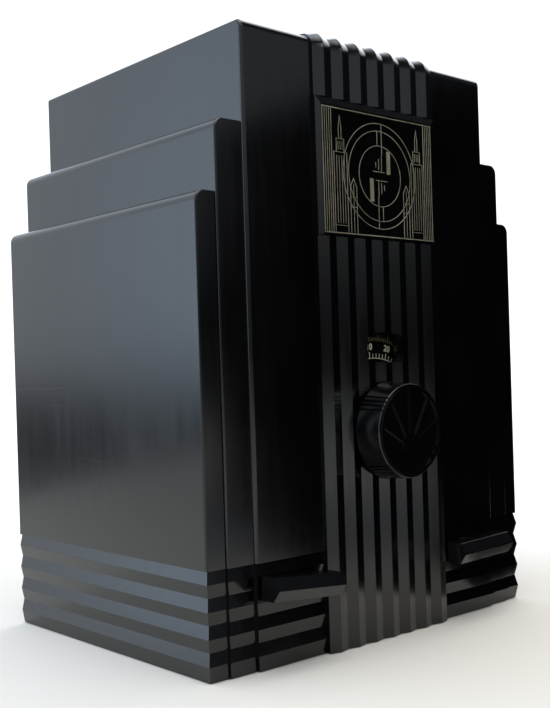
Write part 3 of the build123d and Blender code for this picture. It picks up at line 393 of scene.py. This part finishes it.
# line art on the plate: frame, side pilasters, rings, masts and a skyline, all plain geometry
def plate_art():
    bm = bmesh.new()
    yf, yb = PLATE_FACE - 0.16, PLATE_FACE + 0.02
    x0, x1 = -40.0, 40.0
    z0, z1 = PLATE_Z0 + 1.8, PLATE_Z1 - 4.6
    zc = (z0 + z1) / 2
    w = 0.42
    thin = 0.30
    stroke(bm, [(x0, z1), (x1, z1)], 0.6, yf, yb)
    stroke(bm, [(x0, z0), (x1, z0)], 0.6, yf, yb)
    for s in (-1, 1):
        for k, ww in enumerate((0.5, 0.36, 0.36, 0.36, 0.5)):
            x = s * (39.6 - 1.45 * k)
            stroke(bm, [(x, z0 + 0.4), (x, z1 - 0.4)], ww, yf, yb)
    for r in (15.2, 22.6, 26.4):
        if r < 20:
            stroke(bm, arc_pts(0, zc, r, 0, 360, 96)[:-1], w, yf, yb, closed=True)
        else:
            h = (z1 - z0) / 2 - 0.4
            stroke(bm, arc_pts(0, zc, r, 0, 360, 120)[:-1], w, yf, yb, closed=True)
    # paired masts above and below
    for s in (1, -1):
        for x, a, b_ in ((-1.6, 15.2, 22.6), (1.6, 10.5, 26.4)):
            stroke(bm, [(x * s, zc + s * a), (x * s, zc + s * b_)], w, yf, yb)
    # solid stepped bars either side of the centre
    for s in (1, -1):
        poly(bm, [(s * 5.0, zc + s * 1.5), (s * 7.6, zc + s * 1.5), (s * 7.6, zc + s * 13.0), (s * 5.0, zc + s * 13.0)], yf, yb)
        for k in range(3):
            x = s * (1.2 - 2.1 * k)
            stroke(bm, [(x, zc + s * (2.2 + 1.0 * k)), (x, zc + s * (10.5 - 1.8 * k))], w, yf, yb)
        stroke(bm, [(s * -5.2, zc + s * 2.2), (s * 3.4, zc + s * 2.2)], w, yf, yb)
    # skyline towers, one group each side
    for s in (-1, 1):
        def T(x, z):
            return (s * x, z)
        base = z0 + 0.5
        stroke(bm, [T(32.4, base), T(32.4, zc + 9.0), T(30.6, zc + 9.0), T(30.6, zc + 15.5), T(28.9, zc + 15.5),
                    T(28.9, zc + 21.0), T(28.0, zc + 26.5), T(27.1, zc + 21.0), T(27.1, zc + 15.5), T(25.4, zc + 15.5),
                    T(25.4, zc + 9.0), T(23.6, zc + 9.0), T(23.6, base)], w, yf, yb)
        for x in (25.4, 27.1, 28.9, 30.6):
            stroke(bm, [T(x, base + 4.2), T(x, zc + 7.4)], thin, yf, yb)
        stroke(bm, [T(23.9, zc + 9.0), T(32.1, zc + 9.0)], thin, yf, yb)
        stroke(bm, [T(25.7, zc + 15.5), T(30.3, zc + 15.5)], thin, yf, yb)
        for x in (26.6, 28.0, 29.4):
            stroke(bm, [T(x, zc + 10.2), T(x, zc + 14.3)], thin, yf, yb)
        stroke(bm, [T(23.9, base + 3.2), T(32.1, base + 3.2)], thin, yf, yb)
        stroke(bm, [T(21.6, base), T(21.6, zc - 7.0), T(19.4, zc - 3.0), T(17.2, zc - 7.0), T(17.2, base)], w, yf, yb)
        stroke(bm, [T(19.4, base + 0.3), T(19.4, zc - 5.6)], thin, yf, yb)
        stroke(bm, [T(17.5, zc - 12.0), T(21.3, zc - 12.0)], thin, yf, yb)
        stroke(bm, [T(17.5, zc - 17.0), T(21.3, zc - 17.0)], thin, yf, yb)
    fix_normals(bm)
    return piece("plate_line_art", bm, GILT, "set")


# numerals and ticks on the tuning disc
def text_mesh(bm, txt, size, pos, angle, y_front, depth):
    cu = bpy.data.curves.new("t", "FONT")
    cu.body = txt
    cu.size = size
    cu.align_x = "CENTER"
    cu.align_y = "CENTER"
    cu.extrude = depth / 2
    cu.offset = 0.02 * size
    ob = bpy.data.objects.new("t", cu)
    SC.collection.objects.link(ob)
    dg = bpy.context.evaluated_depsgraph_get()
    dg.update()
    me = bpy.data.meshes.new_from_object(ob.evaluated_get(dg))
    # text lies in XY facing +Z: turn it to face -Y with its top along the radius
    rot = Matrix.Rotation(math.radians(90), 4, "X")
    spin = Matrix.Rotation(angle, 4, "Y")
    mv = Matrix.Translation((pos[0], y_front + depth / 2, pos[1]))
    me.transform(Matrix.Scale(MM, 4) @ mv @ spin @ rot)
    bm.from_mesh(me)
    bpy.data.objects.remove(ob)
    bpy.data.curves.remove(cu)
    bpy.data.meshes.remove(me)


def dial_marks():
    bm = bmesh.new()
    gm = bmesh.new()
    yf, yb = DISC_FRONT - 0.10, DISC_FRONT + 0.02

    def at(v, r):
        a = math.radians((v - DIAL_REST) * 1.8)
        return (r * math.sin(a), KNOB_Z + r * math.cos(a)), a

    for v in range(0, 101, 2):
        major = v % 10 == 0
        p0, a = at(v, 36.4)
        p1, a = at(v, 39.5 if major else 38.7)
        stroke(bm, [p0, p1], 0.62 if major else 0.45, yf, yb)
    a0 = math.degrees(math.pi / 2 - at(0, 1)[1])
    a1 = math.degrees(math.pi / 2 - at(100, 1)[1])
    stroke(bm, arc_pts(0, KNOB_Z, 36.3, a0 + 0.4, a1 - 0.4, 140), 0.5, yf, yb)
    for v in range(0, 101, 10):
        p, a = at(v, 42.0)
        text_mesh(bm, str(v), 4.5, p, a, yf, 0.1)
    for v in range(0, 101, 1):
        p0, a = at(v, 45.0)
        p1, a = at(v, 48.2 if v % 5 == 0 else 46.9)
        stroke(gm, [p0, p1], 0.42, yf, yb)
    fix_normals(bm)
    fix_normals(gm)
    piece("dial_numbers", bm, CREAM, "tuning")
    piece("dial_upper_scale", gm, GILT_DIM, "tuning")


plate_art()
dial_marks()


# ------------------------------------------------------------------ room
def floor():
    m, nt, b, tc = new_mat("table_top")
    n1 = noise(nt, tc, 3.0, 4.0, 0.5)
    col = ramp(nt, n1.outputs["Fac"], [(0.3, (0.73, 0.69, 0.63)), (0.7, (0.76, 0.72, 0.65))])
    # painted shadow: the table is a little warmer and duller close to the front of the set, standing in for the set's
    # shade on it
    sep = nt.nodes.new("ShaderNodeVectorMath")
    sep.operation = "DISTANCE"
    sep.inputs[1].default_value = (0.06, -0.15, 0.0)
    nt.links.new(tc.outputs["Object"], sep.inputs[0])
    # mask of the painted shadow: 1 near the front of the set, fading to 0 about 0.27 m away
    side = nt.nodes.new("ShaderNodeMapRange")
    side.interpolation_type = "SMOOTHSTEP"
    side.inputs["From Min"].default_value = 0.27
    side.inputs["From Max"].default_value = 0.02
    nt.links.new(sep.outputs["Value"], side.inputs["Value"])
    painted_shadow_tint = mix(nt, "MIX", side.outputs[0], (1.0, 1.0, 1.0), (0.91, 0.88, 0.84))
    tone = mix(nt, "MULTIPLY", 1.0, col.outputs["Color"], painted_shadow_tint.outputs[2])
    nt.links.new(tone.outputs[2], b.inputs["Base Color"])
    n2 = noise(nt, tc, 300.0, 3.0, 0.5)
    rr = ramp(nt, n2.outputs["Fac"], [(0.3, 0.30), (0.7, 0.38)])
    nt.links.new(rr.outputs["Color"], b.inputs["Roughness"])
    b.inputs["IOR"].default_value = 1.4
    b.inputs["Specular IOR Level"].default_value = 0.0
    bm = bmesh.new()
    # the table runs on everywhere but behind the set, where it ends 0.9 m from the eye
    n = Vector((FWD.x, FWD.y, 0)).normalized()
    t = Vector((-n.y, n.x, 0))
    e = Vector((EYE.x, EYE.y, 0)) + n * 0.897
    c = [e + t * 3.0 - n * 0.408, e - t * 3.0 + n * 0.408, e - t * 3.0 - n * 8.0, e + t * 3.0 - n * 8.0]
    bm.faces.new([bm.verts.new(v) for v in c])
    fix_normals(bm)
    me = bpy.data.meshes.new("table_top")
    bm.to_mesh(me)
    bm.free()
    ob = bpy.data.objects.new("table_top", me)
    SC.collection.objects.link(ob)
    me.materials.append(m)
    if me.polygons[0].normal.z < 0:
        me.flip_normals()


floor()


def flag(name, quad, tone=0.0):
    """A dark card that only reflections see: it paints shade into the reflections of glossy parts."""
    m, nt, b, tc = new_mat(name)
    n1 = noise(nt, tc, 40.0, 3.0, 0.5)
    col = ramp(nt, n1.outputs["Fac"], [(0.3, 0.0015 + tone), (0.7, 0.003 + tone)])
    nt.links.new(col.outputs["Color"], b.inputs["Base Color"])
    b.inputs["Roughness"].default_value = 1.0
    b.inputs["Specular IOR Level"].default_value = 0.0
    bm = bmesh.new()
    bm.faces.new([bm.verts.new(v) for v in quad])
    me = bpy.data.meshes.new(name)
    bm.to_mesh(me)
    bm.free()
    ob = bpy.data.objects.new(name, me)
    SC.collection.objects.link(ob)
    me.materials.append(m)
    ob.visible_camera = False
    ob.visible_diffuse = False
    ob.visible_transmission = False
    ob.visible_volume_scatter = False
    ob.visible_shadow = False


# painted reflections of shade: dark cards to the front and right of the set, seen only in reflections
flag("flag_front", [(0.165, -0.42, 0.0), (0.40, -0.42, 0.0), (1.4, -0.42, 0.0), (1.4, -0.42, 0.60), (0.40, -0.42, 0.44), (0.165, -0.42, 0.34)])
flag("flag_side", [(1.4, -0.42, 0.0), (1.4, 0.6, 0.0), (1.4, 0.6, 0.50), (1.4, -0.42, 0.60)])
# painted shade: two sheets lying on the table that only reflections see, darkening the table's reflection in front of
# the set; the second is half dark
flag("painted_shade_table_sheet", [(0.09, -0.085, 0.002), (0.09, -0.29, 0.002), (0.20, -0.40, 0.002), (0.30, -0.62, 0.002), (1.4, -0.62, 0.002), (1.4, -0.085, 0.002)])
flag("painted_shade_table_sheet_half", [(-0.20, -0.29, 0.002), (0.09, -0.29, 0.002), (0.20, -0.40, 0.002), (0.30, -0.62, 0.002), (-0.20, -0.62, 0.002)], tone=0.33)


def world():
    w = bpy.data.worlds.new("studio")
    SC.world = w
    w.use_nodes = True
    nt = w.node_tree
    bg = nt.nodes["Background"]
    tc = nt.nodes.new("ShaderNodeTexCoord")

    def dotp(v):
        d = nt.nodes.new("ShaderNodeVectorMath")
        d.operation = "DOT_PRODUCT"
        d.inputs[1].default_value = Vector(v).normalized()
        nt.links.new(tc.outputs["Generated"], d.inputs[0])
        return d.outputs["Value"]

    def span(v, lo, hi):
        mr = nt.nodes.new("ShaderNodeMapRange")
        mr.interpolation_type = "SMOOTHSTEP"
        mr.inputs["From Min"].default_value = lo
        mr.inputs["From Max"].default_value = hi
        nt.links.new(v, mr.inputs["Value"])
        return mr.outputs[0]

    # a bright white room behind and to the left, dark towards the front right
    front = math_node(nt, "MULTIPLY_ADD", dotp((0.74, -0.67, 0.0)), 0.5)
    front.inputs[2].default_value = 0.5
    r1 = ramp(nt, front.outputs[0], [(0.0, (0.92, 0.965, 1.03)), (0.55, (0.88, 0.95, 1.03)), (0.74, (0.02, 0.021, 0.024)), (1.0, (0.003, 0.003, 0.004))])
    up = math_node(nt, "MULTIPLY_ADD", dotp((0.0, 0.0, 1.0)), 0.5)
    up.inputs[2].default_value = 0.5
    # a dimmer strip where the far edge of the table meets the wall
    strip = ramp(nt, up.outputs[0], [(0.0, 1.0), (0.43, 0.55), (0.468, 0.12), (0.486, 0.30), (0.508, 0.92), (0.54, 1.0)])
    walls = mix(nt, "MULTIPLY", 1.0, r1.outputs["Color"], strip.outputs["Color"])
    # more light from the left than from behind
    left = span(dotp((-1.0, 0.0, 0.0)), 0.47, 0.66)
    lift = mix(nt, "MIX", left, (0.87, 0.89, 0.91), (1.66, 1.98, 2.25))
    walls2 = mix(nt, "MULTIPLY", 1.0, walls.outputs[2], lift.outputs[2])
    # a window glow high in front, which the left hand flanks of the flutes pick up
    ahead = span(dotp((-0.1, -0.995, 0.0)), 0.20, 0.95)
    rising = span(up.outputs[0], 0.505, 0.64)
    falling = span(up.outputs[0], 0.80, 0.66)
    high = math_node(nt, "MULTIPLY", rising, falling)
    glow = math_node(nt, "MULTIPLY", ahead, high.outputs[0])
    # the dark place where the viewer stands
    viewer = span(dotp((-0.74, -0.67, 0.0)), 0.72, 0.95)
    walls2b = mix(nt, "MIX", viewer, walls2.outputs[2], (0.03, 0.03, 0.033))
    walls3 = mix(nt, "MIX", glow.outputs[0], walls2b.outputs[2], (0.54, 0.58, 0.64))
    r2 = ramp(nt, up.outputs[0], [(0.0, 0.0), (0.575, 0.0), (0.84, 1.0), (1.0, 1.0)])
    rightward = span(dotp((0.60, -0.80, 0.0)), 0.28, 0.58)
    ceiling = mix(nt, "MIX", rightward, (0.90, 1.0, 1.14), (0.05, 0.055, 0.065))
    sky = mix(nt, "MIX", r2.outputs["Color"], walls3.outputs[2], ceiling.outputs[2])
    lp = nt.nodes.new("ShaderNodeLightPath")
    cam = mix(nt, "MIX", lp.outputs["Is Camera Ray"], sky.outputs[2], (1.0, 1.0, 1.0))
    nt.links.new(cam.outputs[2], bg.inputs["Color"])
    bg.inputs["Strength"].default_value = 1.35


world()


def area(name, loc, target, size, power, col=(1, 1, 1)):
    li = bpy.data.lights.new(name, "AREA")
    li.shape = "RECTANGLE"
    li.size, li.size_y = size
    li.energy = power
    li.color = col
    ob = bpy.data.objects.new(name, li)
    SC.collection.objects.link(ob)
    ob.location = loc
    d = Vector(target) - Vector(loc)
    ob.rotation_mode = "QUATERNION"
    ob.rotation_quaternion = d.to_track_quat("-Z", "Y")
    return ob


area("key", (-0.05, -0.35, 1.6), (0, -0.05, 0.1), (1.2, 1.2), 11.0, (1.0, 0.99, 0.97))
area("ceiling_glow", (1.2, 0.35, 1.45), (0, 0, 0.25), (1.4, 1.0), 9.0, (0.97, 0.99, 1.0))
area("front_top", (0.10, -1.5, 1.25), (0, 0, 0.2), (0.5, 0.35), 3.0, (0.97, 0.98, 1.0))
SC.view_settings.view_transform = "Standard"
SC.view_settings.look = "None"
